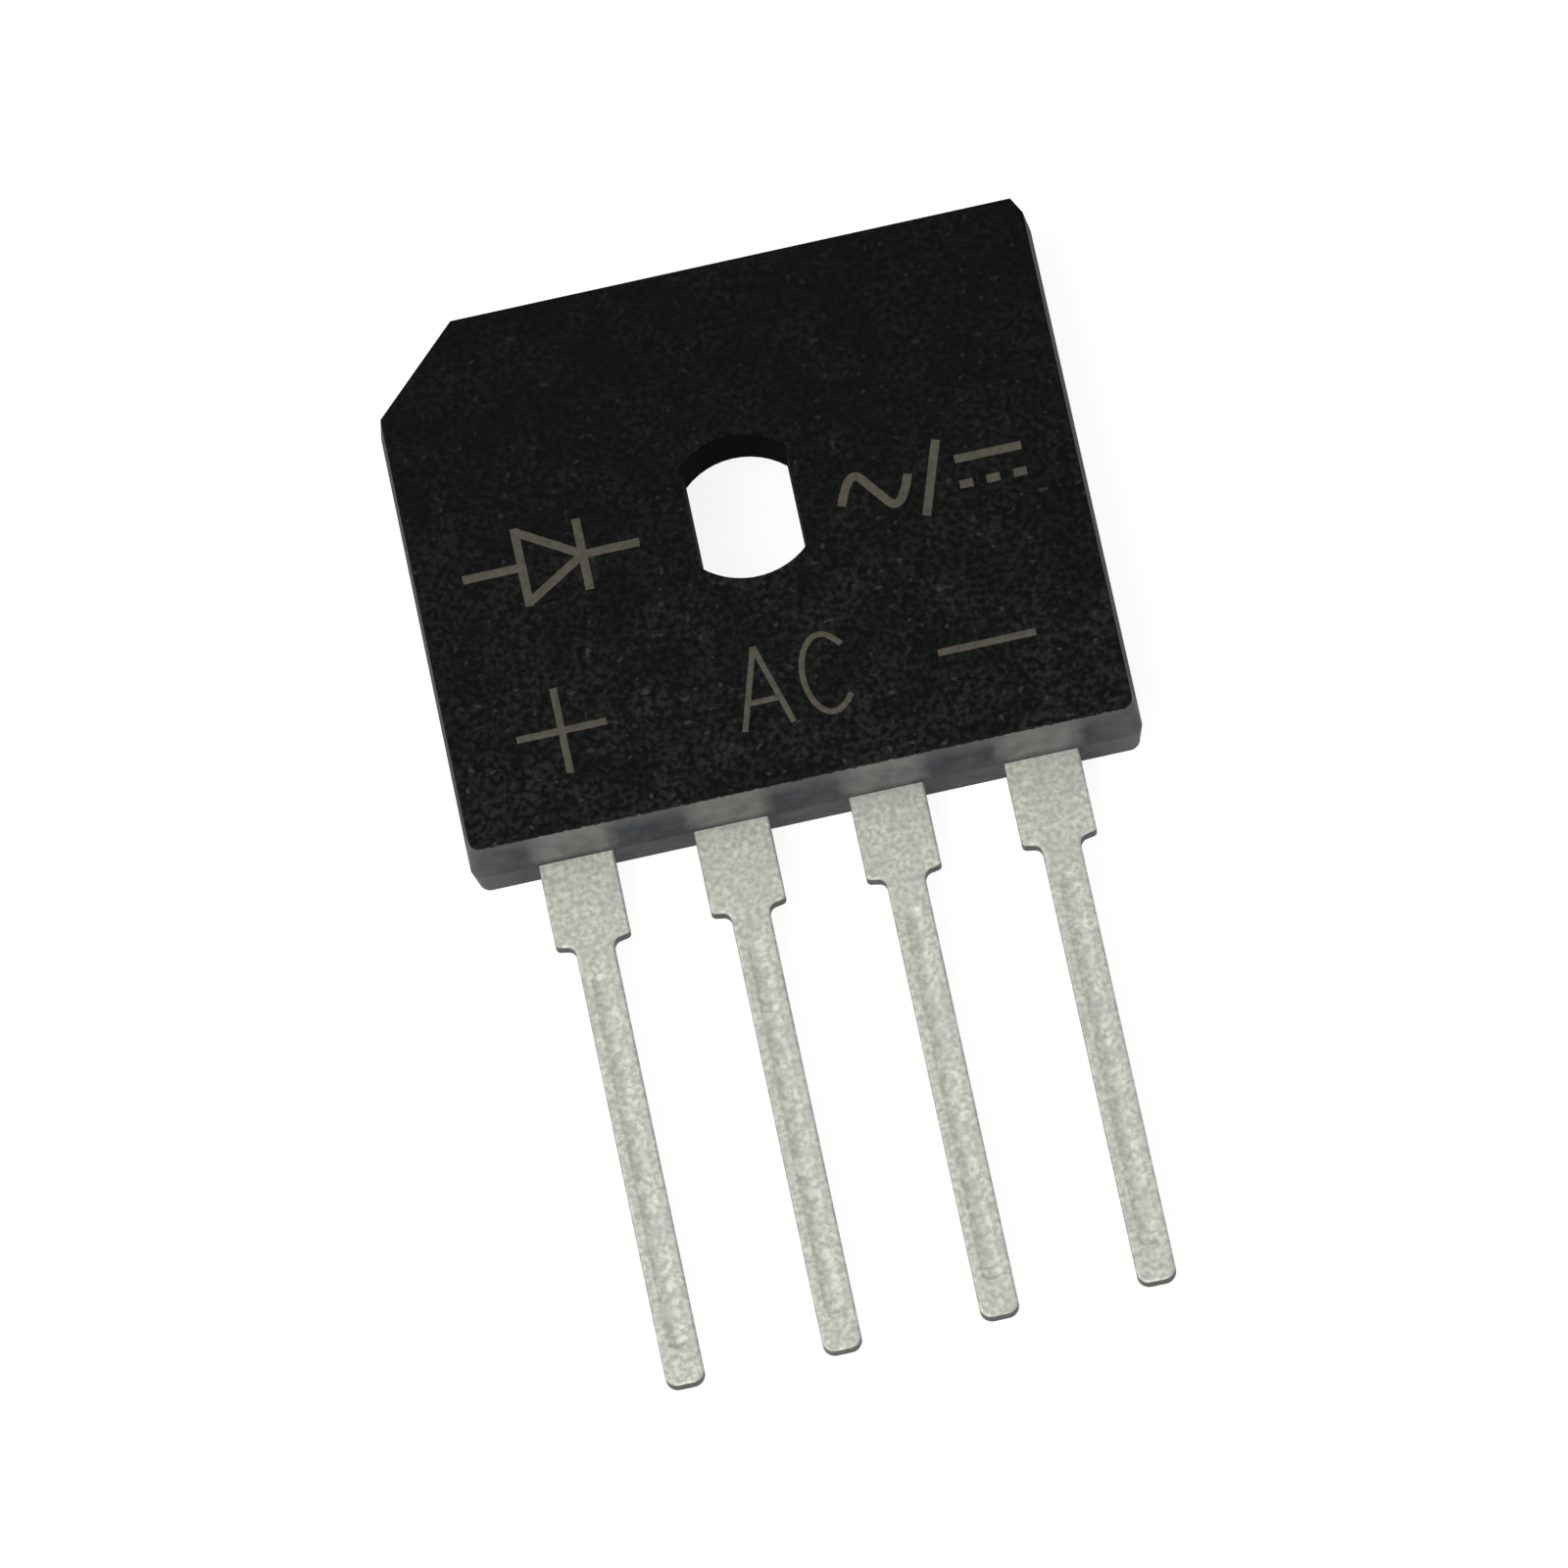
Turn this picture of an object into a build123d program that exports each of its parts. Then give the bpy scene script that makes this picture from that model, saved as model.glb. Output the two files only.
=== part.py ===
"""Bridge rectifier in a flat moulded case with four leads in one row.

The part lies on its back. Z is up, out of the marked face, and Z = 0 is the flat back face that is
screwed to a heatsink. The origin is the centre of the screw slot on that face. Y runs from the leads to
the top of the case, and X along its width, with the positive lead at the low end of X.
"""
from build123d import *
from math import radians, sqrt, tan
import os

# Case
case_width = 22.0
case_height = 18.55
case_thickness = 3.45
slot_below_top = 8.65
parting_height = 1.6
lead_side_draft = 9.0
case_draft = 5.0
polarity_chamfer = 2.95
far_chamfer_width = 0.36
far_chamfer_height = 0.68
lead_side_corner_radius = 0.38
face_edge_radius = 0.08

# Screw slot: a round hole with two flat sides, tightest at the parting plane
slot_radius = 2.5
slot_half_width = 1.75
slot_front_draft = 2.5
slot_back_draft = 2.5
slot_back_flare = 23.0

# Leads
lead_pitch = 5.08
lead_count = 4
lead_thickness = 0.5
lead_length = 18.15
shoulder_width = 2.45
shoulder_length = 2.86
shoulder_slope = 0.11
shoulder_corner_radius = 0.16
neck_radius = 0.28
pin_width = 1.26
tip_corner_radius = 0.4
lead_edge_radius = 0.09
groove_width = 0.66
groove_depth = 0.08
groove_start = 4.05
groove_above_tip = 1.2
groove_runout_radius = 0.4

# Lead frame inside the case
edge_wall = 1.0
slot_wall = 1.2
pad_gap = 0.8
positive_column_width = 4.6
riser_width = 1.2
pad_corner_radius = 0.4

# Dies, clips and solder
die_size = 2.2
die_thickness = 0.28
die_bevel = 0.08
die_inset = 0.35
solder_thickness = 0.06
solder_spread = 0.12
clip_thickness = 0.22
clip_width = 1.0
clip_tab_length = 1.4
clip_foot_length = 1.2
clip_foot_inset = 0.15
clip_rise = 0.5
clip_slope_length = 0.55
clip_bend_radius = 0.22
row_gap = 0.9

# Levels
front_depth = case_thickness - parting_height
lead_back = parting_height - lead_thickness
die_seat = parting_height + solder_thickness
die_top = die_seat + die_thickness
clip_seat = die_top + solder_thickness
clip_middle = clip_seat + clip_thickness / 2
clip_foot_middle = die_seat + clip_thickness / 2
clip_crest = clip_middle + clip_rise

# Edges of the case at the parting plane
case_top = slot_below_top
case_low = slot_below_top - case_height
case_side = case_width / 2
case_middle = (case_top + case_low) / 2
lead_tip = case_low - lead_length

# The groove of a pin is as deep as a roller sinks into it, and runs out at both ends
groove_roller_radius = groove_width**2 / (8 * groove_depth) + groove_depth / 2
groove_roller_axis = parting_height - groove_depth + groove_roller_radius
groove_runout = sqrt(groove_depth * (2 * groove_runout_radius - groove_depth))
groove_low = lead_tip + groove_above_tip + groove_runout
groove_high = case_low - groove_start - groove_runout

# Edges of the pads, kept clear of the case's sides and of the slot's wide mouth at the back
slot_waist_radius = slot_radius - front_depth * tan(radians(slot_front_draft))
slot_waist_half_width = slot_half_width - front_depth * tan(radians(slot_front_draft))
slot_back_radius = slot_waist_radius + parting_height * tan(radians(slot_back_flare))
pad_clearance = slot_back_radius + slot_wall
pad_side = case_side - edge_wall
pad_top = case_top - edge_wall
pad_low = case_low + edge_wall
column_right = positive_column_width - pad_side
ac_left_outer = column_right + pad_gap
riser_right = pad_clearance + riser_width
riser_middle = pad_clearance + riser_width / 2
riser_top = pad_clearance - pad_gap
negative_left = riser_right + pad_gap
ac_inner = pad_gap / 2

# Places of the dies and of the feet of the clips. The left clip lies clear of the slot, with its die beside
# the row of the negative dies
clip_foot_reach = clip_foot_inset + clip_foot_length / 2
negative_row_y = pad_low + die_inset + die_size / 2
left_clip_y = min(
    -pad_clearance - clip_foot_inset - clip_width / 2,
    negative_row_y + die_size / 2 + row_gap + clip_width / 2,
)
bar_middle_y = (pad_clearance + pad_top) / 2
left_foot_x = ac_left_outer + clip_foot_reach
right_foot_y = riser_top - clip_foot_reach
negative_foot_x = negative_left + clip_foot_reach
die_places = {
    "positive_left": ((column_right - pad_side) / 2, left_clip_y),
    "positive_right": (riser_middle, bar_middle_y),
    "negative_left": (-ac_inner - die_inset - die_size / 2, negative_row_y),
    "negative_right": ((ac_inner + riser_right) / 2, negative_row_y),
}
foot_places = {
    "ac_left": (left_foot_x, left_clip_y),
    "ac_right": (riser_middle, right_foot_y),
    "negative": (negative_foot_x, negative_row_y),
}
bar_right = riser_middle + die_size / 2 + die_inset


def lead_x(number):
    """X of a lead's centre line, counted from the positive lead."""
    return (number - (lead_count - 1) / 2) * lead_pitch


def field(left, right, low, high):
    """A rectangle of the open sketch, between four edges."""
    with Locations(((left + right) / 2, (low + high) / 2)):
        Rectangle(right - left, high - low)


def case_half(depth, direction, lead_draft):
    """One half of the moulding, from the parting plane outwards, with every side drafted."""
    with BuildPart() as half:
        with BuildSketch(Plane.XY.offset(parting_height)):
            field(-case_side, case_side, case_low, case_top)
        extrude(amount=depth * direction)
        cut_corner = half.edges().filter_by(Axis.Z).group_by(Axis.X)[0].sort_by(Axis.Y)[-1]
        chamfer(cut_corner, length=polarity_chamfer)
        far_corner = half.edges().filter_by(Axis.Z).group_by(Axis.X)[-1].sort_by(Axis.Y)[-1]
        far_side = half.faces().sort_by(Axis.X)[-1]
        chamfer(far_corner, length=far_chamfer_height, length2=far_chamfer_width, reference=far_side)
        outwards = Plane((0, 0, parting_height), x_dir=(1, 0, 0), z_dir=(0, 0, direction))
        draft([half.faces().sort_by(Axis.Y)[0]], neutral_plane=outwards, angle=lead_draft)
        other_sides = half.faces().sort_by(Axis.Y)[1:] - half.faces().filter_by(Axis.Z)
        draft(other_sides, neutral_plane=outwards, angle=case_draft)
    return half


def groove_roller(number):
    """The roller that presses a pin's shallow groove, rounded so that the groove runs out at its ends."""
    middle = (groove_low + groove_high) / 2
    length = groove_high - groove_low
    sunk_to = parting_height - groove_depth
    with BuildPart() as roller:
        with BuildSketch(Plane.YZ.offset(lead_x(number))):
            with Locations((middle, sunk_to + groove_runout_radius)):
                SlotCenterToCenter(length, 2 * groove_runout_radius)
            with Locations((middle, (sunk_to + groove_roller_axis) / 2)):
                Rectangle(length + 4 * groove_runout_radius, groove_roller_radius, mode=Mode.INTERSECT)
        revolve(axis=Axis((lead_x(number), 0, groove_roller_axis), (0, 1, 0)))
    return roller


def lead_strip(number):
    """The stamped lead outside the case, and its root up to the pad inside."""
    half_shoulder = shoulder_width / 2
    half_pin = pin_width / 2
    shoulder_end = case_low - shoulder_length
    neck = shoulder_end - shoulder_slope
    root = pad_low + pad_corner_radius
    with BuildPart() as strip:
        with BuildSketch(Plane((lead_x(number), 0, lead_back))) as blank:
            with BuildLine():
                Polyline(
                    (0, root),
                    (half_shoulder, root),
                    (half_shoulder, shoulder_end),
                    (half_pin, neck),
                    (half_pin, lead_tip),
                    (0, lead_tip),
                )
                mirror(about=Plane.YZ)
            make_face()
            fillet(blank.vertices().group_by(Axis.Y)[2], shoulder_corner_radius)
            fillet(blank.vertices().group_by(Axis.Y)[1], neck_radius)
            fillet(blank.vertices().group_by(Axis.Y)[0], tip_corner_radius)
        extrude(amount=lead_thickness)
        front_rim = strip.faces().sort_by(Axis.Z)[-1].edges().sort_by(Axis.Y)[:-1]
        fillet(front_rim, lead_edge_radius)
        add(groove_roller(number).part, mode=Mode.SUBTRACT)
    return strip


def clip(plane, contacts):
    """A copper strip bent over its contacts, each given as (centre, length, level of its middle)."""
    bends = []
    for position, (centre, length, level) in enumerate(contacts):
        if position > 0:
            bends.append((centre - length / 2 - clip_slope_length, clip_crest))
        bends.append((centre - length / 2, level))
        bends.append((centre + length / 2, level))
        if position < len(contacts) - 1:
            bends.append((centre + length / 2 + clip_slope_length, clip_crest))
    with BuildPart() as bent:
        with BuildSketch(plane):
            with BuildLine():
                FilletPolyline(*bends, radius=clip_bend_radius)
            trace(line_width=clip_thickness)
        extrude(amount=clip_width / 2, both=True)
    return bent


def solder_joint(place, level, length, along_y):
    """The solder under one contact of a clip, as long as the contact and as wide as the clip."""
    with BuildPart() as joint:
        with BuildSketch(Plane((*place, level))):
            Rectangle(length, clip_width, rotation=90 if along_y else 0)
        extrude(amount=solder_thickness)
    return joint


strips = [lead_strip(number) for number in range(lead_count)]
pieces = {}

with BuildPart() as lead_positive:
    with BuildSketch(Plane.XY.offset(lead_back)) as positive_pad:
        field(-pad_side, column_right, pad_low, pad_top)
        field(-pad_side, bar_right, pad_clearance, pad_top)
        chamfer(positive_pad.vertices().group_by(Axis.Y)[-1].sort_by(Axis.X)[0], polarity_chamfer)
        fillet(positive_pad.vertices(), pad_corner_radius)
    extrude(amount=lead_thickness)
    add(strips[0].part)
pieces["lead_positive"] = lead_positive

with BuildPart() as lead_ac_left:
    with BuildSketch(Plane.XY.offset(lead_back)) as ac_left_pad:
        field(ac_left_outer, -ac_inner, pad_low, -pad_clearance)
        fillet(ac_left_pad.vertices(), pad_corner_radius)
    extrude(amount=lead_thickness)
    add(strips[1].part)
pieces["lead_ac_left"] = lead_ac_left

with BuildPart() as lead_ac_right:
    with BuildSketch(Plane.XY.offset(lead_back)) as ac_right_pad:
        field(ac_inner, riser_right, pad_low, -pad_clearance)
        field(pad_clearance, riser_right, pad_low, riser_top)
        fillet(ac_right_pad.vertices(), pad_corner_radius)
    extrude(amount=lead_thickness)
    add(strips[2].part)
pieces["lead_ac_right"] = lead_ac_right

with BuildPart() as lead_negative:
    with BuildSketch(Plane.XY.offset(lead_back)) as negative_pad:
        field(negative_left, pad_side, pad_low, -pad_clearance)
        fillet(negative_pad.vertices(), pad_corner_radius)
    extrude(amount=lead_thickness)
    add(strips[3].part)
pieces["lead_negative"] = lead_negative

for name, place in die_places.items():
    with BuildPart() as solder_under:
        with BuildSketch(Plane((*place, parting_height))):
            Rectangle(die_size + 2 * solder_spread, die_size + 2 * solder_spread)
        with BuildSketch(Plane((*place, die_seat))):
            Rectangle(die_size, die_size)
        loft()
    pieces[f"solder_under_{name}"] = solder_under
    with BuildPart() as die:
        with BuildSketch(Plane((*place, die_seat))):
            Rectangle(die_size, die_size)
        extrude(amount=die_thickness)
        chamfer(die.faces().sort_by(Axis.Z)[-1].edges(), die_bevel)
    pieces[f"die_{name}"] = die
    on_riser_line = name == "positive_right"
    pieces[f"solder_over_{name}"] = solder_joint(place, die_top, clip_tab_length, on_riser_line)

for name, place in foot_places.items():
    on_riser_line = name == "ac_right"
    pieces[f"solder_foot_{name}"] = solder_joint(place, parting_height, clip_foot_length, on_riser_line)

pieces["clip_ac_left"] = clip(
    Plane.XZ.offset(-left_clip_y),
    [
        (die_places["positive_left"][0], clip_tab_length, clip_middle),
        (left_foot_x, clip_foot_length, clip_foot_middle),
    ],
)
pieces["clip_ac_right"] = clip(
    Plane.YZ.offset(riser_middle),
    [
        (right_foot_y, clip_foot_length, clip_foot_middle),
        (bar_middle_y, clip_tab_length, clip_middle),
    ],
)
pieces["clip_negative"] = clip(
    Plane.XZ.offset(-negative_row_y),
    [
        (die_places["negative_left"][0], clip_tab_length, clip_middle),
        (die_places["negative_right"][0], clip_tab_length, clip_middle),
        (negative_foot_x, clip_foot_length, clip_foot_middle),
    ],
)

with BuildPart() as slot_front:
    with BuildSketch(Plane.XY.offset(parting_height)):
        Circle(slot_waist_radius)
        Rectangle(2 * slot_waist_half_width, 2 * slot_waist_radius, mode=Mode.INTERSECT)
    extrude(amount=front_depth, taper=-slot_front_draft)

with BuildPart() as slot_back:
    with BuildSketch(Plane.XZ):
        with BuildLine():
            Polyline(
                (0, 0),
                (slot_back_radius, 0),
                (slot_waist_radius, parting_height),
                (0, parting_height),
                close=True,
            )
        make_face()
    revolve(axis=Axis.Z)
    with BuildSketch(Plane.XY.offset(parting_height)):
        Rectangle(2 * slot_waist_half_width, 4 * slot_back_radius)
    extrude(amount=-parting_height, taper=-slot_back_draft, mode=Mode.INTERSECT)

front_half = case_half(front_depth, 1, lead_side_draft)
back_half = case_half(parting_height, -1, case_draft)
with BuildPart() as moulded_case:
    add(front_half.part)
    add(back_half.part)
    flat_edges = moulded_case.faces().filter_by(Axis.Z).edges() + moulded_case.edges().filter_by(Plane.XY)
    uprights = moulded_case.edges() - flat_edges
    fillet(uprights.sort_by(Axis.Y)[:4], lead_side_corner_radius)
    fillet(moulded_case.faces().sort_by(Axis.Z)[-1].edges(), face_edge_radius)
    add(slot_front.part, mode=Mode.SUBTRACT)
    add(slot_back.part, mode=Mode.SUBTRACT)
    for strip in strips:
        add(strip.part, mode=Mode.SUBTRACT)
    for piece in pieces.values():
        add(piece.part, mode=Mode.SUBTRACT)
pieces["moulded_case"] = moulded_case

os.makedirs("parts", exist_ok=True)
for name, piece in pieces.items():
    piece.part.label = name
    export_step(piece.part, f"parts/{name}.step")
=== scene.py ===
"""The looks of a flat in-line bridge rectifier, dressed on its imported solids.

The black epoxy gets its grain, the leads their dull tin, and the marked face its printed signs. Lengths are
in metres, in the same axes as the solids. The box of the case and that of the whole come from the frame.
"""

import math

import bpy
from mathutils import Matrix, Vector


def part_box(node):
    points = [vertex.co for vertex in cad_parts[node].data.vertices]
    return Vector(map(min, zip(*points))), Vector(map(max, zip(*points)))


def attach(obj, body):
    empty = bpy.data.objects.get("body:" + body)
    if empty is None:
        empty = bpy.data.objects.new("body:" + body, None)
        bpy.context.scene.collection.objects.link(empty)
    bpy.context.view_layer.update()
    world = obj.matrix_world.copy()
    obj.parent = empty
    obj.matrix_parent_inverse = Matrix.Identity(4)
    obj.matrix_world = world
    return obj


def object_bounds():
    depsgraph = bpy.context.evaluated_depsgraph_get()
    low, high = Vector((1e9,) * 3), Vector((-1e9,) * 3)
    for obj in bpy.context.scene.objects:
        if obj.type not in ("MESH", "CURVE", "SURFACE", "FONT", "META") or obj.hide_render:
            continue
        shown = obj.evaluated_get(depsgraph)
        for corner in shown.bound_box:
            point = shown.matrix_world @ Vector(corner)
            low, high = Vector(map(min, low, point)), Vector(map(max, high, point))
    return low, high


bl_info = {
    "name": "Bridge Rectifier",
    "version": (1, 0, 0),
    "blender": (4, 5, 0),
    "location": "3D View > Sidebar > Rectifier",
    "description": "Dresses the solids of a bridge rectifier with epoxy, tinned leads and printed signs",
    "category": "Object",
}

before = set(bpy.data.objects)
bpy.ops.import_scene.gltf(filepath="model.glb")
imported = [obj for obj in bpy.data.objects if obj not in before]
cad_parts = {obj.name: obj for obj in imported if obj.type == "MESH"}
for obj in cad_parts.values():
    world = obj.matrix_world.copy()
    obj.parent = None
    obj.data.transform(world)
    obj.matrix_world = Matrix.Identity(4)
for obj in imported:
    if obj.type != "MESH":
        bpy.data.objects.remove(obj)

MM = 0.001
BODY = "root"
CASE_LOW, CASE_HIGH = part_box("moulded_case")
WHOLE_LOW, WHOLE_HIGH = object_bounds()

# The leads and the case, as the patterns need them
LEAD_NODES = ("lead_positive", "lead_ac_left", "lead_ac_right", "lead_negative")
LEAD_PITCH = 5.08 * MM
SHOULDER_WIDTH = 2.45 * MM
PARTING = 1.6 * MM
SLOT_REACH = 3.5 * MM

# Grains: the noise's detail, and the span of it over which a grain fades in
FACE_GRAIN = (3.5, 0.36, 0.72)
FACE_CLOUDS = (2.0, 0.3, 0.75)
FACE_SPECKS = (0.0, 0.72, 0.86)
WALL_CLOUDS = (4.0, 0.3, 0.72)
TIN_SPECKLE = (3.0, 0.3, 0.72)
TIN_STAINS = (2.0, 0.35, 0.7)
INNER_GRAIN = (3.0, 0.3, 0.7)
INK_GRAIN = (3.0, 0.25, 0.7)

# Upright faces: how flat a face is where the mask starts and where it is full, and the line's raggedness
WALL_TURN = (0.93, 0.6, 0.5)
SHEARED_TURN = (0.45, 0.1, 0.1)

# The case: depths are measured from its top face, its ends or its lead-side wall
GRAIN_FADE_START = 0.6
SPILL_FADE = 0.4
LEAD_WALL_DEPTH = (1.2 * MM, 0.6 * MM)
STRIP_SOFTNESS = 0.4 * MM
FRONT_HALF_SOFTNESS = 0.35 * MM
# Painted reflection of the leads: how its pale strips are mottled by the walls' patches
PAINTED_REFLECTION_MOTTLE = (0.3, 0.6, 0.6, 1.0)
# Painted sheen: the walls pale towards the top edge and the ends, in the painted reflection's colour, fully
# on the lead side and weaker on the other sides
PAINTED_SHEEN_EDGE = (0.8 * MM, 0.1 * MM)
PAINTED_SHEEN_ENDS = (1.8 * MM, 0.6 * MM)
PAINTED_SHEEN_EDGE_SHARE = 0.55
PAINTED_SHEEN_ENDS_SHARE = 0.35
OTHER_SIDES_PAINTED_SHEEN = 0.2
# Share of the walls' grey on the walls other than the lead side; the grey is partly painted sheen
OTHER_SIDES_WALL = 0.5

# The leads, the hidden pieces and the ink
TIN_METALLIC = 0.5
STAIN_SHARE = 0.5
TIN_ROUGHNESS_SPREAD = 0.08
INNER_ROUGHNESS_SPREAD = 0.1
INK_SPECULAR = 0.2
INK_ROUGHNESS = (0.85, 0.7)
INNER_FINISHES = {
    "die_": {
        "name": "silicon",
        "dark": (0.09, 0.10, 0.14, 1),
        "light": (0.16, 0.17, 0.20, 1),
        "size": 0.3 * MM,
        "metallic": 0.6,
        "roughness": 0.3,
        "depth": 0.001 * MM,
    },
    "clip_": {
        "name": "clip_copper",
        "dark": (0.62, 0.32, 0.20, 1),
        "light": (0.80, 0.48, 0.33, 1),
        "size": 0.2 * MM,
        "metallic": 1.0,
        "roughness": 0.35,
        "depth": 0.003 * MM,
    },
    "solder_": {
        "name": "dull_solder",
        "dark": (0.42, 0.42, 0.43, 1),
        "light": (0.66, 0.66, 0.66, 1),
        "size": 0.1 * MM,
        "metallic": 1.0,
        "roughness": 0.45,
        "depth": 0.004 * MM,
    },
}

# The printed signs: their middles on the marked face, and how far a stroke lies over the last, in widths
SIGN_X = {"plus": -7.18 * MM, "a": -0.65 * MM, "c": 1.5 * MM, "minus": 6.7 * MM}
SYMBOL_X = {"diode": -6.4 * MM, "wave_to_direct": 6.15 * MM}
MINUS_DROP = 0.16 * MM
STROKE_LIFT = 0.04

# The studio, in metres and watts
WHITE = (1.0, 1.0, 1.0, 1.0)
LAMPS = {
    "lamp_top": {"centre": (-0.16, -0.06, 0.28), "size": 0.22, "power": 0.55},
    "lamp_front": {"centre": (-0.05, -0.30, 0.17), "size": 0.16, "power": 0.35},
}
FLOOR_DROP = 0.01 * MM
CAMERA_CLIP = (0.01, 20.0)


def put(tree, kind, inputs=None, **settings):
    """Adds a shader node. Its inputs are given by name or number, as values or as sockets to link."""
    node = tree.nodes.new(kind)
    for name, value in settings.items():
        setattr(node, name, value)
    for name, value in (inputs or {}).items():
        if isinstance(value, bpy.types.NodeSocket):
            tree.links.new(value, node.inputs[name])
        else:
            node.inputs[name].default_value = value
    return node


def mixed(tree, factor, low, high):
    """A colour that goes from low to high with factor."""
    node = put(tree, "ShaderNodeMix", {0: factor, 6: low, 7: high}, data_type="RGBA")
    return node.outputs[2]


def number(tree, operation, *values):
    """The result of one Math node."""
    node = put(tree, "ShaderNodeMath", dict(enumerate(values)), operation=operation)
    return node.outputs[0]


def ramp(tree, value, low, high, to_low=0.0, to_high=1.0, **settings):
    """Maps value from the span low to high on to the span to_low to to_high, and stops at its ends."""
    inputs = {"Value": value, "From Min": low, "From Max": high, "To Min": to_low, "To Max": to_high}
    return put(tree, "ShaderNodeMapRange", inputs, **settings).outputs["Result"]


def soft_ramp(tree, value, low, high):
    """Rises from 0 to 1 between low and high, with soft ends."""
    return ramp(tree, value, low, high, interpolation_type="SMOOTHSTEP")


def new_group(name, inputs, outputs):
    """An empty shader node group with float inputs, given with their defaults, and float outputs."""
    tree = bpy.data.node_groups.new(name, "ShaderNodeTree")
    for label, default in inputs.items():
        socket = tree.interface.new_socket(label, in_out="INPUT", socket_type="NodeSocketFloat")
        socket.default_value = default
    for label in outputs:
        tree.interface.new_socket(label, in_out="OUTPUT", socket_type="NodeSocketFloat")
    return tree, tree.nodes.new("NodeGroupInput"), tree.nodes.new("NodeGroupOutput")


def grain_group():
    """Irregular grains of one size, from 0 between them to 1 on them."""
    tree, given, result = new_group(
        "Moulded Grain", {"Size": 0.2 * MM, "Detail": 2.0, "From": 0.4, "To": 0.6}, ["Mask", "Height"]
    )
    place = put(tree, "ShaderNodeTexCoord")
    scale = number(tree, "DIVIDE", 1.0, given.outputs["Size"])
    noise = put(
        tree,
        "ShaderNodeTexNoise",
        {"Vector": place.outputs["Object"], "Scale": scale, "Detail": given.outputs["Detail"]},
    )
    mask = soft_ramp(tree, noise.outputs["Fac"], given.outputs["From"], given.outputs["To"])
    tree.links.new(mask, result.inputs["Mask"])
    tree.links.new(noise.outputs["Fac"], result.inputs["Height"])
    return tree


def side_group():
    """1 on faces that stand upright, 0 on faces that lie flat, with a ragged line between them."""
    tree, given, result = new_group(
        "Upright Faces", {"From": 0.8, "To": 0.5, "Raggedness": 0.1, "Size": 0.2 * MM}, ["Mask"]
    )
    place = put(tree, "ShaderNodeTexCoord")
    axes = put(tree, "ShaderNodeSeparateXYZ", {0: place.outputs["Normal"]})
    flatness = number(tree, "ABSOLUTE", axes.outputs["Z"])
    scale = number(tree, "DIVIDE", 1.0, given.outputs["Size"])
    noise = put(tree, "ShaderNodeTexNoise", {"Vector": place.outputs["Object"], "Scale": scale})
    wander = number(tree, "SUBTRACT", noise.outputs["Fac"], 0.5)
    ragged = number(tree, "MULTIPLY_ADD", wander, given.outputs["Raggedness"], flatness)
    mask = ramp(tree, ragged, given.outputs["From"], given.outputs["To"])
    tree.links.new(mask, result.inputs["Mask"])
    return tree


def shared(name, make):
    """The node group of that name, made the first time that it is asked for."""
    return bpy.data.node_groups.get(name) or make()


def grain(tree, size, detail, low, high):
    """Places the grain group. Its outputs are Mask and Height."""
    node = put(tree, "ShaderNodeGroup", node_tree=shared("Moulded Grain", grain_group))
    for label, value in {"Size": size, "Detail": detail, "From": low, "To": high}.items():
        node.inputs[label].default_value = value
    return node


def uprights(tree, low, high, raggedness, size):
    """Places the group that tells upright faces from flat ones, and gives its mask."""
    node = put(tree, "ShaderNodeGroup", node_tree=shared("Upright Faces", side_group))
    for label, value in {"From": low, "To": high, "Raggedness": raggedness, "Size": size}.items():
        node.inputs[label].default_value = value
    return node.outputs["Mask"]


def new_material(name):
    """A material with an empty tree, its Principled shader and its output."""
    material = bpy.data.materials.new(name)
    material.use_nodes = True
    tree = material.node_tree
    tree.nodes.clear()
    shader = tree.nodes.new("ShaderNodeBsdfPrincipled")
    output = tree.nodes.new("ShaderNodeOutputMaterial")
    tree.links.new(shader.outputs["BSDF"], output.inputs["Surface"])
    return material, tree, shader


def bump(tree, shader, height, depth):
    """Raises the surface by height times depth, in metres."""
    node = put(tree, "ShaderNodeBump", {"Height": height, "Distance": depth})
    tree.links.new(node.outputs["Normal"], shader.inputs["Normal"])


def near_leads(tree, x):
    """1 in line with a lead, 0 between two leads, along the row of leads."""
    half_pitch = LEAD_PITCH / 2
    nearness = number(tree, "PINGPONG", x, half_pitch)
    edge = half_pitch - SHOULDER_WIDTH / 2
    return soft_ramp(tree, nearness, edge - STRIP_SOFTNESS, edge + STRIP_SOFTNESS)


def smoother_on(tree, mask, roughness, spread):
    """A roughness that is lower by spread where the mask is 1, and higher by as much where it is 0."""
    return ramp(tree, mask, 0.0, 1.0, roughness + spread, roughness - spread)


def face_colour(tree, look, y, fine):
    """The marked face: grains and bright specks on black, more of both towards the leads."""
    fade_start = CASE_HIGH.y * GRAIN_FADE_START
    towards_leads = ramp(tree, y, fade_start, CASE_LOW.y, look.grain_at_top, 1.0)
    cloud = grain(tree, look.cloud_size, *FACE_CLOUDS)
    speck = grain(tree, look.speck_size, *FACE_SPECKS)
    strength = number(tree, "MULTIPLY", fine.outputs["Mask"], towards_leads)
    strength = number(tree, "MULTIPLY", strength, number(tree, "ADD", cloud.outputs["Mask"], 0.5))
    colour = mixed(tree, strength, look.epoxy_colour, look.grain_colour)
    glint = number(tree, "MULTIPLY", speck.outputs["Mask"], towards_leads)
    return mixed(tree, glint, colour, look.speck_colour)


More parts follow.
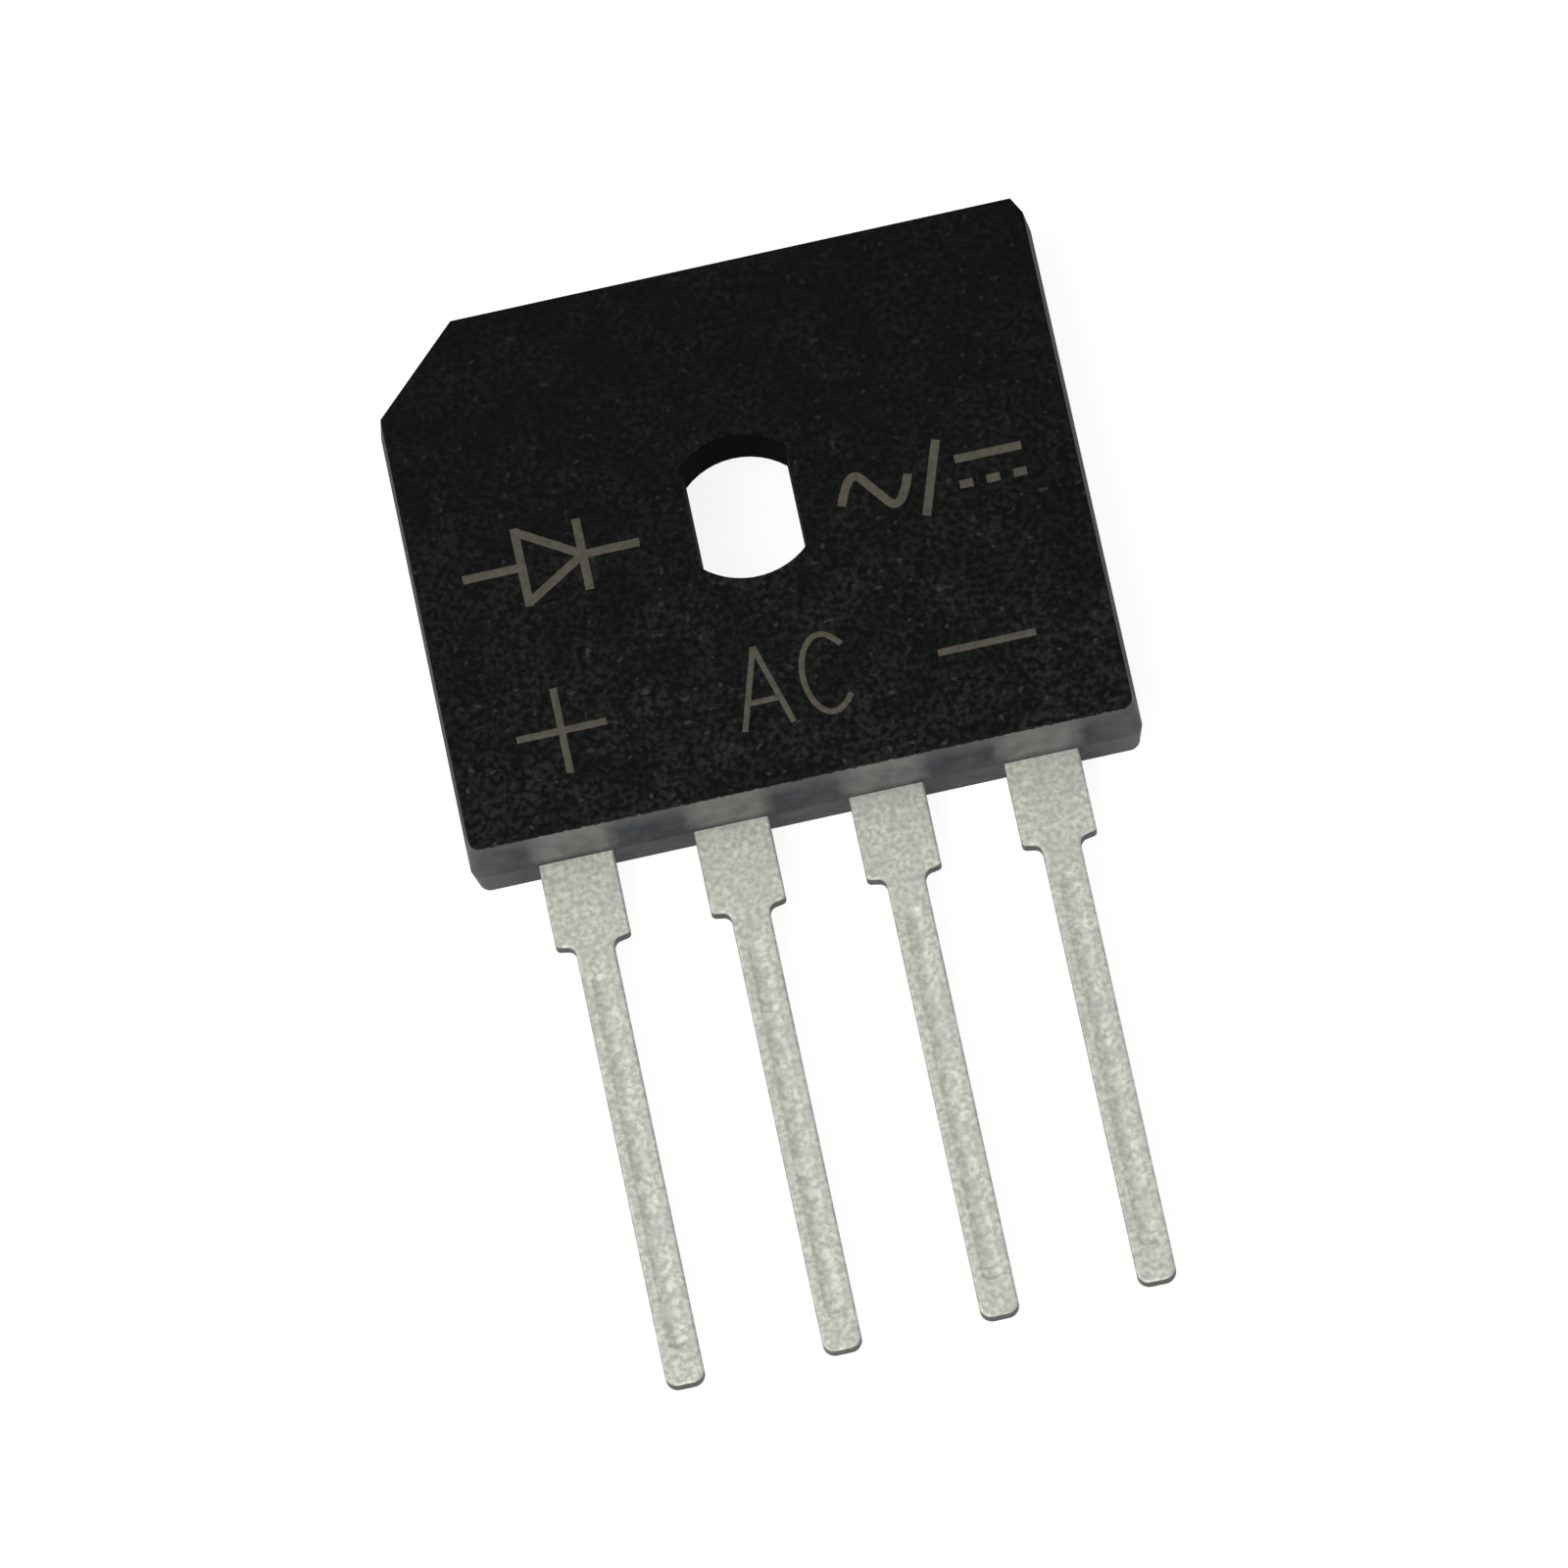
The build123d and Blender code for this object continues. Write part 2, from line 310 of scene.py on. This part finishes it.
def wall_colour(tree, look, axes, lead_side):
    """The side walls, and the mask of the pale strips above the leads, a painted reflection of the leads.
    """
    cloud = grain(tree, look.wall_cloud_size, *WALL_CLOUDS)
    colour = mixed(tree, cloud.outputs["Mask"], look.wall_colour, look.wall_cloud_colour)
    # Painted reflection of the leads: pale strips on the front half of the lead-side wall, in line with
    # each lead
    front_half = ramp(tree, axes["Z"], PARTING, PARTING + FRONT_HALF_SOFTNESS)
    painted_reflection = number(tree, "MULTIPLY", near_leads(tree, axes["X"]), front_half)
    painted_reflection = number(tree, "MULTIPLY", painted_reflection, lead_side)
    mottle = ramp(tree, cloud.outputs["Height"], *PAINTED_REFLECTION_MOTTLE)
    painted_reflection = number(tree, "MULTIPLY", painted_reflection, mottle)
    colour = mixed(tree, painted_reflection, colour, look.painted_reflection_colour)

    # Painted sheen, paler towards the top edge and towards the ends of the walls
    below, above = (CASE_HIGH.z - depth for depth in PAINTED_SHEEN_EDGE)
    edge = ramp(tree, axes["Z"], below, above, 0.0, PAINTED_SHEEN_EDGE_SHARE)
    inner, outer = (CASE_HIGH.x - depth for depth in PAINTED_SHEEN_ENDS)
    ends = ramp(tree, number(tree, "ABSOLUTE", axes["X"]), inner, outer, 0.0, PAINTED_SHEEN_ENDS_SHARE)
    share = ramp(tree, lead_side, 0.0, 1.0, OTHER_SIDES_PAINTED_SHEEN, 1.0)
    painted_sheen = number(tree, "MULTIPLY", number(tree, "MAXIMUM", edge, ends), share)
    return mixed(tree, painted_sheen, colour, look.painted_reflection_colour), painted_reflection


def wall_masks(tree, look, axes, lead_side, fine):
    """Where the outer walls show under the ragged edge of the face, and where the slot's wall does, which
    gets painted shade.
    """
    upright = uprights(tree, *WALL_TURN, look.grain_size)
    wander = number(tree, "SUBTRACT", fine.outputs["Height"], 0.5)
    height = number(tree, "MULTIPLY_ADD", wander, look.spill_raggedness, axes["Z"])
    spill_low, spill_high = CASE_HIGH.z - look.spill, CASE_HIGH.z - look.spill * SPILL_FADE
    upright = number(tree, "MULTIPLY", upright, ramp(tree, height, spill_low, spill_high, 1.0, 0.0))
    across, along = (number(tree, "ABSOLUTE", axes[name]) for name in "XY")
    outside = number(tree, "GREATER_THAN", number(tree, "MAXIMUM", across, along), SLOT_REACH)
    in_slot = number(tree, "MULTIPLY", upright, number(tree, "SUBTRACT", 1.0, outside))
    # The lead-side wall takes all of the walls' grey, which is partly painted sheen, and the other walls
    # half of it
    share = ramp(tree, lead_side, 0.0, 1.0, OTHER_SIDES_WALL, 1.0)
    on_wall = number(tree, "MULTIPLY", number(tree, "MULTIPLY", upright, outside), share)
    return on_wall, in_slot


def epoxy_material(look):
    """Black moulded epoxy: a grained matt face, grey walls that are partly a smoother skin and partly
    painted sheen, pale strips of painted reflection above the leads, and painted shade on the wall in the
    slot.
    """
    material, tree, shader = new_material("black_epoxy")
    place = put(tree, "ShaderNodeTexCoord")
    axes = put(tree, "ShaderNodeSeparateXYZ", {0: place.outputs["Object"]}).outputs
    fine = grain(tree, look.grain_size, *FACE_GRAIN)
    lead_side = ramp(tree, axes["Y"], *(CASE_LOW.y + depth for depth in LEAD_WALL_DEPTH))
    face = face_colour(tree, look, axes["Y"], fine)
    wall, painted_reflection = wall_colour(tree, look, axes, lead_side)
    on_wall, in_slot = wall_masks(tree, look, axes, lead_side, fine)

    # The slot's wall is darkened to near black: painted shade
    colour = mixed(tree, in_slot, mixed(tree, on_wall, face, wall), look.painted_slot_shade_colour)
    roughness = ramp(tree, on_wall, 0.0, 1.0, look.face_roughness, look.wall_roughness)
    gloss = ramp(tree, painted_reflection, 0.0, 1.0, look.wall_gloss, 1.0)
    tree.links.new(colour, shader.inputs["Base Color"])
    tree.links.new(roughness, shader.inputs["Roughness"])
    tree.links.new(number(tree, "MULTIPLY", on_wall, gloss), shader.inputs["Coat Weight"])
    shader.inputs["Coat Roughness"].default_value = look.wall_gloss_roughness
    shader.inputs["Specular IOR Level"].default_value = look.face_shine
    bump(tree, shader, fine.outputs["Height"], look.grain_depth)
    return material


def tin_material(look):
    """Dull tin over copper: fine speckle on the flat faces, and dark sides where the strip was cut, partly
    a duller cut edge and partly painted shade.
    """
    material, tree, shader = new_material("dull_tin")
    speckle = grain(tree, look.tin_speckle_size, *TIN_SPECKLE)
    stain = grain(tree, look.tin_stain_size, *TIN_STAINS)
    plated = mixed(tree, speckle.outputs["Mask"], look.tin_colour, look.tin_light_colour)
    stained = number(tree, "MULTIPLY", stain.outputs["Mask"], STAIN_SHARE)
    plated = mixed(tree, stained, plated, look.tin_grey_colour)
    sheared = uprights(tree, *SHEARED_TURN, look.tin_speckle_size)
    # The cut sides take a near-black colour: partly the duller cut metal, partly painted shade
    colour = mixed(tree, sheared, plated, look.sheared_and_shade_colour)
    roughness = smoother_on(tree, speckle.outputs["Mask"], look.tin_roughness, TIN_ROUGHNESS_SPREAD)
    tree.links.new(colour, shader.inputs["Base Color"])
    tree.links.new(roughness, shader.inputs["Roughness"])
    shader.inputs["Metallic"].default_value = TIN_METALLIC
    bump(tree, shader, speckle.outputs["Height"], look.tin_texture_depth)
    return material


def inner_material(name, dark, light, size, metallic, roughness, depth):
    """A plain grained finish for the pieces that the case hides."""
    material, tree, shader = new_material(name)
    texture = grain(tree, size, *INNER_GRAIN)
    tree.links.new(mixed(tree, texture.outputs["Mask"], dark, light), shader.inputs["Base Color"])
    uneven = smoother_on(tree, texture.outputs["Mask"], roughness, INNER_ROUGHNESS_SPREAD)
    tree.links.new(uneven, shader.inputs["Roughness"])
    shader.inputs["Metallic"].default_value = metallic
    bump(tree, shader, texture.outputs["Height"], depth)
    return material


def ink_material(look):
    """Taupe printing ink, thin enough for the grain of the epoxy to show through."""
    material, tree, shader = new_material("taupe_ink")
    fine = grain(tree, look.grain_size, *INK_GRAIN)
    colour = mixed(tree, fine.outputs["Mask"], look.ink_thin_colour, look.ink_colour)
    tree.links.new(colour, shader.inputs["Base Color"])
    roughness = ramp(tree, fine.outputs["Mask"], 0.0, 1.0, *INK_ROUGHNESS)
    tree.links.new(roughness, shader.inputs["Roughness"])
    shader.inputs["Specular IOR Level"].default_value = INK_SPECULAR
    bump(tree, shader, fine.outputs["Height"], look.grain_depth)
    return material


def wear(node, material):
    """Gives a CAD node's object that material alone."""
    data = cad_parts[node].data
    data.materials.clear()
    data.materials.append(material)


def colour_property(label, text, rgb):
    """A linear colour that a user can change."""
    return bpy.props.FloatVectorProperty(
        name=label, description=text, subtype="COLOR", size=4, min=0.0, max=1.0, default=(*rgb, 1.0)
    )


def length_property(label, text, millimetres):
    """A length that a user can change."""
    return bpy.props.FloatProperty(
        name=label, description=text, default=millimetres * MM, precision=6, unit="LENGTH"
    )


def angle_property(label, text, degrees):
    """An angle that a user can change."""
    return bpy.props.FloatProperty(
        name=label, description=text, default=math.radians(degrees), subtype="ANGLE"
    )


def share_property(label, text, value):
    """A share from 0 to 1 that a user can change."""
    return bpy.props.FloatProperty(
        name=label, description=text, default=value, min=0.0, max=1.0, subtype="FACTOR"
    )


class RectifierFinish(bpy.types.PropertyGroup):
    """Colours, roughness and grain of the rectifier's surfaces."""

    epoxy_colour: colour_property("Epoxy", "Ground of the marked face", (0.0042, 0.0044, 0.0045))
    grain_colour: colour_property("Grain", "Grains of the marked face", (0.020, 0.0205, 0.0205))
    speck_colour: colour_property("Specks", "Bright specks of the marked face", (0.04, 0.041, 0.04))
    # Partly the smoother skin's own grey, partly painted sheen
    wall_colour: colour_property("Wall", "Side walls of the case", (0.037, 0.038, 0.042))
    # Painted shade: the slot's wall near black, far darker than the epoxy
    painted_slot_shade_colour: colour_property("Slot", "Wall of the screw slot", (0.0004, 0.0004, 0.0005))
    wall_cloud_colour: colour_property("Wall Cloud", "Paler patches of the walls", (0.058, 0.060, 0.062))
    # Painted reflection: the pale colour of the strips above the leads, also used for the painted sheen
    # along the top edge and the ends
    painted_reflection_colour: colour_property(
        "Painted Reflection", "Painted pale reflection above each lead and along the edge", (0.12, 0.123, 0.116)
    )
    spill: length_property("Face Overlap", "How far the matt face runs over the edge", 0.1)
    spill_raggedness: length_property("Edge Raggedness", "How uneven the matt face's edge is", 0.25)
    wall_gloss: share_property("Wall Gloss", "Weight of the walls' moulded skin", 0.12)
    face_shine: share_property("Face Shine", "Specular level of the epoxy", 0.03)
    face_roughness: share_property("Face Roughness", "Roughness of the marked face", 0.8)
    wall_roughness: share_property("Wall Roughness", "Roughness of the side walls", 0.65)
    wall_gloss_roughness: share_property("Skin Roughness", "Roughness of the walls' moulded skin", 0.22)
    grain_at_top: share_property("Grain at Top", "How much grain is left at the top of the case", 0.3)
    grain_size: length_property("Grain Size", "Width of a grain", 0.2)
    cloud_size: length_property("Cloud Size", "Width of the patches with more grain", 1.8)
    speck_size: length_property("Speck Size", "Width of a bright speck", 0.26)
    wall_cloud_size: length_property("Wall Cloud Size", "Width of the walls' patches", 0.6)
    grain_depth: length_property("Grain Depth", "Height of the grain", 0.012)
    tin_colour: colour_property("Tin", "Plating of the leads", (0.35, 0.36, 0.31))
    tin_light_colour: colour_property("Light Tin", "Speckle of the plating", (0.572, 0.584, 0.506))
    tin_grey_colour: colour_property("Grey Tin", "Stains of the plating", (0.375, 0.383, 0.357))
    # Partly the duller cut metal, partly painted shade
    sheared_and_shade_colour: colour_property("Sheared", "Sides where the strip was sheared", (0.055, 0.055, 0.052))
    tin_roughness: share_property("Tin Roughness", "Roughness of the plating", 0.55)
    tin_speckle_size: length_property("Speckle Size", "Width of the plating's speckle", 0.18)
    tin_stain_size: length_property("Stain Size", "Width of the plating's stains", 0.8)
    tin_texture_depth: length_property("Tin Texture", "Height of the plating's texture", 0.006)
    ink_colour: colour_property("Ink", "Full ink of the signs", (0.078, 0.073, 0.054))
    ink_thin_colour: colour_property("Thin Ink", "Ink where the grain shows", (0.054, 0.051, 0.038))


class RectifierPrint(bpy.types.PropertyGroup):
    """Sizes of the signs printed on the marked face."""

    print_height: length_property("Ink Height", "How far the ink stands proud", 0.012)
    polarity_stroke: length_property("Polarity Stroke", "Stroke of the plus and minus signs", 0.25)
    letter_stroke: length_property("Letter Stroke", "Stroke of the letters", 0.2)
    symbol_stroke: length_property("Symbol Stroke", "Stroke of the circuit symbols", 0.30)
    polarity_length: length_property("Polarity Length", "Length of the plus sign's bars", 2.95)
    minus_length: length_property("Minus Length", "Length of the minus sign", 3.2)
    letter_height: length_property("Letter Height", "Height of the letters", 2.8)
    symbol_height: length_property("Symbol Height", "Height of the circuit symbols", 2.5)
    polarity_row: length_property("Polarity Row", "Y of the polarity signs", -6.25)
    symbol_row: length_property("Symbol Row", "Y of the circuit symbols", -0.46)


class RectifierStudio(bpy.types.PropertyGroup):
    """The camera, the floor and the lights."""

    elevation: angle_property("Elevation", "Camera above the floor", 68.98)
    azimuth: angle_property("Azimuth", "Camera round the part", 1.16)
    roll: angle_property("Roll", "Turn of the picture", -13.45)
    aim: bpy.props.FloatVectorProperty(
        name="Aim",
        description="Point at the middle of the picture",
        subtype="XYZ",
        unit="LENGTH",
        precision=6,
        default=(-0.61 * MM, -8.955 * MM, 1.6 * MM),
    )
    distance: length_property("Distance", "Camera to the aimed point", 475.4)
    lens: bpy.props.FloatProperty(name="Lens", description="Focal length in mm", default=340.9)
    floor_side: length_property("Floor Side", "Side of the floor", 4000.0)
    floor_colour: colour_property("Floor", "The floor", (0.75, 0.75, 0.75))
    floor_shadow: share_property("Floor Shadow", "How much of the shadow shows", 0.3)
    floor_glow: bpy.props.FloatProperty(
        name="Floor Glow", description="Whiteness of the floor", default=1.26
    )
    sky_strength: share_property("Sky", "Light from all round", 0.5)


def flat_beads(name, strokes, width, height, place):
    """Strokes as one mesh: flattened beads along their points, in metres, each laid over the last."""
    curve = bpy.data.curves.new(name, "CURVE")
    curve.dimensions = "3D"
    curve.bevel_depth = width / 2
    curve.bevel_resolution = 3
    curve.use_fill_caps = True
    curve.resolution_u = 12
    for order, (kind, points) in enumerate(strokes):
        level = STROKE_LIFT * width * order
        spline = curve.splines.new(kind)
        spline.points.add(len(points) - 1)
        for point, (x, y) in zip(spline.points, points):
            point.co = (x, y, level, 1.0)
        if kind == "NURBS":
            spline.order_u = 3
            spline.use_endpoint_u = True
    holder = bpy.data.objects.new(name, curve)
    bpy.context.collection.objects.link(holder)
    mesh = bpy.data.meshes.new_from_object(holder)
    bpy.data.objects.remove(holder)
    flatten = Matrix.Diagonal((1.0, 1.0, height / (width / 2), 1.0))
    mesh.transform(Matrix.Translation(place) @ flatten)
    mesh.name = name
    piece = bpy.data.objects.new(name, mesh)
    bpy.context.collection.objects.link(piece)
    return piece


def printed(name, strokes, width, place):
    """A printed sign on the marked face, at x and y, in the ink."""
    settings = bpy.context.scene.rectifier_print
    piece = flat_beads(name, strokes, width, settings.print_height, Vector((*place, CASE_HIGH.z)))
    ink = bpy.data.materials.get("taupe_ink") or ink_material(bpy.context.scene.rectifier_finish)
    piece.data.materials.append(ink)
    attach(piece, BODY)


class RECTIFIER_OT_case(bpy.types.Operator):
    """Give the moulded case its epoxy"""

    bl_idname = "rectifier.case"
    bl_label = "Moulded Case"

    def execute(self, context):
        wear("moulded_case", epoxy_material(context.scene.rectifier_finish))
        return {"FINISHED"}


class RECTIFIER_OT_leads(bpy.types.Operator):
    """Give the four leads their tin"""

    bl_idname = "rectifier.leads"
    bl_label = "Leads"

    def execute(self, context):
        tin = tin_material(context.scene.rectifier_finish)
        for node in LEAD_NODES:
            wear(node, tin)
        return {"FINISHED"}


class RECTIFIER_OT_insides(bpy.types.Operator):
    """Give the dies, clips and solder inside the case their finishes"""

    bl_idname = "rectifier.insides"
    bl_label = "Dies, Clips and Solder"

    def execute(self, context):
        finishes = {start: inner_material(**finish) for start, finish in INNER_FINISHES.items()}
        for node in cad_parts:
            for start, material in finishes.items():
                if node.startswith(start):
                    wear(node, material)
        return {"FINISHED"}


def line(start, end):
    """One straight stroke."""
    return ("POLY", [start, end])


class RECTIFIER_OT_polarity_signs(bpy.types.Operator):
    """Print the plus, AC and minus signs over the leads"""

    bl_idname = "rectifier.polarity_signs"
    bl_label = "Polarity Signs"

    def execute(self, context):
        sizes = context.scene.rectifier_print
        arm = sizes.polarity_length / 2
        row = sizes.polarity_row
        plus = [line((-arm, 0), (arm, 0)), line((0, -arm), (0, arm))]
        printed("sign_plus", plus, sizes.polarity_stroke, (SIGN_X["plus"], row))
        arm = sizes.minus_length / 2
        minus = [line((-arm, 0), (arm, 0))]
        printed("sign_minus", minus, sizes.polarity_stroke, (SIGN_X["minus"], row - MINUS_DROP))
        half = sizes.letter_height / 2
        foot = 0.285 * sizes.letter_height
        bar = -0.34 * half
        bar_reach = foot * (half - bar) / (2 * half)
        letter_a = [
            line((-foot, -half), (0, half)),
            line((foot, -half), (0, half)),
            line((-bar_reach, bar), (bar_reach, bar)),
        ]
        printed("letter_a", letter_a, sizes.letter_stroke, (SIGN_X["a"], row))
        wide = 0.29 * sizes.letter_height
        open_at = math.radians(38)
        steps = 9
        sweep = 2 * (math.pi - open_at)
        around = [open_at + sweep * step / steps for step in range(steps + 1)]
        letter_c = [("NURBS", [(wide * math.cos(a), half * math.sin(a)) for a in around])]
        printed("letter_c", letter_c, sizes.letter_stroke, (SIGN_X["c"], row))
        return {"FINISHED"}


class RECTIFIER_OT_circuit_symbols(bpy.types.Operator):
    """Print a diode to the left of the slot, and a wave over direct current to its right"""

    bl_idname = "rectifier.circuit_symbols"
    bl_label = "Circuit Symbols"

    def execute(self, context):
        sizes = context.scene.rectifier_print
        half = sizes.symbol_height / 2
        corner = half + 0.4 * sizes.symbol_stroke
        reach = 2.9 * MM
        base = -0.95 * MM
        tip = 1.05 * MM
        diode = [
            line((-reach, 0), (base, 0)),
            line((base, corner), (base, -corner)),
            line((base, half), (tip, 0)),
            line((base, -half), (tip, 0)),
            line((tip, half), (tip, -half)),
            line((tip, 0), (reach, 0)),
        ]
        spot = (SYMBOL_X["diode"], sizes.symbol_row)
        printed("symbol_diode", diode, sizes.symbol_stroke, spot)
        wave_reach = 1.15 * MM
        middle = -1.9 * MM
        lean = 0.62 * wave_reach
        pull = 0.961 * MM
        end = 0.31 * MM
        wave_points = [
            (middle - wave_reach, -end),
            (middle - lean, pull),
            (middle, 0),
            (middle + lean, -pull),
            (middle + wave_reach, end),
        ]
        dash = 0.22 * MM
        direct = 1.9 * MM
        direct_reach = 1.1 * MM
        gap = 0.45 * MM
        lines = [
            ("NURBS", wave_points),
            line((-0.45 * MM, -half), (0.35 * MM, half)),
            line((direct - direct_reach, gap), (direct + direct_reach, gap)),
        ]
        for x in (direct - direct_reach + dash, direct, direct + direct_reach - dash):
            lines.append(line((x - dash, -gap), (x + dash, -gap)))
        spot = (SYMBOL_X["wave_to_direct"], sizes.symbol_row)
        printed("symbol_wave_to_direct", lines, sizes.symbol_stroke, spot)
        return {"FINISHED"}


def looked_at(tree):
    """1 where the camera sees a thing itself, or sees it in metal or through glass."""
    ray = put(tree, "ShaderNodeLightPath")
    seen = number(tree, "MAXIMUM", ray.outputs["Is Camera Ray"], ray.outputs["Is Glossy Ray"])
    return number(tree, "MAXIMUM", seen, ray.outputs["Is Transmission Ray"])


def floor_material(studio):
    """A white floor that shows only a share of its shadow."""
    material = bpy.data.materials.new("studio_floor")
    material.use_nodes = True
    tree = material.node_tree
    tree.nodes.clear()
    diffuse = put(tree, "ShaderNodeBsdfDiffuse", {"Color": studio.floor_colour})
    glow = put(tree, "ShaderNodeEmission", {"Color": WHITE, "Strength": studio.floor_glow})
    seen = number(tree, "MULTIPLY", looked_at(tree), 1.0 - studio.floor_shadow)
    blend = put(tree, "ShaderNodeMixShader", {0: seen, 1: diffuse.outputs[0], 2: glow.outputs[0]})
    output = tree.nodes.new("ShaderNodeOutputMaterial")
    tree.links.new(blend.outputs[0], output.inputs["Surface"])
    return material


def add_lamp(name, centre, size, power, aim):
    """A square soft lamp at centre that looks at aim."""
    data = bpy.data.lights.new(name, "AREA")
    data.size = size
    data.energy = power
    lamp = bpy.data.objects.new(name, data)
    lamp.location = centre
    lamp.rotation_euler = (Vector(centre) - aim).to_track_quat("Z", "Y").to_euler()
    bpy.context.collection.objects.link(lamp)


class RECTIFIER_OT_studio(bpy.types.Operator):
    """Set up the floor, the lights and the camera"""

    bl_idname = "rectifier.studio"
    bl_label = "Studio"

    def execute(self, context):
        studio = context.scene.rectifier_studio
        scene = context.scene
        bpy.ops.mesh.primitive_plane_add(size=studio.floor_side, location=(0, 0, -FLOOR_DROP))
        floor = context.object
        floor.name = "floor"
        floor.data.materials.append(floor_material(studio))

        world = bpy.data.worlds.new("studio_sky")
        world.use_nodes = True
        scene.world = world
        tree = world.node_tree
        tree.nodes.clear()
        shown = number(tree, "MAXIMUM", looked_at(tree), studio.sky_strength)
        sky = put(tree, "ShaderNodeBackground", {"Color": WHITE, "Strength": shown})
        output = tree.nodes.new("ShaderNodeOutputWorld")
        tree.links.new(sky.outputs[0], output.inputs["Surface"])

        middle = (WHOLE_LOW + WHOLE_HIGH) / 2
        for name, lamp in LAMPS.items():
            add_lamp(name, aim=middle, **lamp)

        camera = bpy.data.objects.new("camera", bpy.data.cameras.new("camera"))
        around, above = studio.azimuth, studio.elevation
        back = Vector(
            (
                math.sin(around) * math.cos(above),
                -math.cos(around) * math.cos(above),
                math.sin(above),
            )
        )
        camera.location = Vector(studio.aim) + back * studio.distance
        turn = back.to_track_quat("Z", "Y").to_matrix() @ Matrix.Rotation(studio.roll, 3, "Z")
        camera.rotation_euler = turn.to_euler()
        camera.data.lens = studio.lens
        camera.data.clip_start, camera.data.clip_end = CAMERA_CLIP
        scene.collection.objects.link(camera)
        scene.camera = camera
        scene.view_settings.view_transform = "Standard"
        return {"FINISHED"}


class RECTIFIER_PT_panel(bpy.types.Panel):
    """Lists the rectifier's operators and settings"""

    bl_idname = "RECTIFIER_PT_panel"
    bl_label = "Bridge Rectifier"
    bl_space_type = "VIEW_3D"
    bl_region_type = "UI"
    bl_category = "Rectifier"

    def draw(self, context):
        for step in STEPS:
            self.layout.operator(step.bl_idname)
        for settings in SETTINGS:
            group = getattr(context.scene, settings)
            for name in group.__annotations__:
                self.layout.prop(group, name)


SETTINGS = {
    "rectifier_finish": RectifierFinish,
    "rectifier_print": RectifierPrint,
    "rectifier_studio": RectifierStudio,
}
STEPS = (
    RECTIFIER_OT_case,
    RECTIFIER_OT_leads,
    RECTIFIER_OT_insides,
    RECTIFIER_OT_polarity_signs,
    RECTIFIER_OT_circuit_symbols,
    RECTIFIER_OT_studio,
)


def register():
    """Registers the settings, the operators and the panel."""
    for name, group in SETTINGS.items():
        bpy.utils.register_class(group)
        setattr(bpy.types.Scene, name, bpy.props.PointerProperty(type=group))
    for step in STEPS:
        bpy.utils.register_class(step)
    bpy.utils.register_class(RECTIFIER_PT_panel)


def unregister():
    """Takes away all that register added."""
    bpy.utils.unregister_class(RECTIFIER_PT_panel)
    for step in reversed(STEPS):
        bpy.utils.unregister_class(step)
    for name, group in reversed(SETTINGS.items()):
        delattr(bpy.types.Scene, name)
        bpy.utils.unregister_class(group)


def main():
    register()
    for step in STEPS:
        section, name = step.bl_idname.split(".")
        getattr(getattr(bpy.ops, section), name)()


if __name__ == "__main__":
    main()
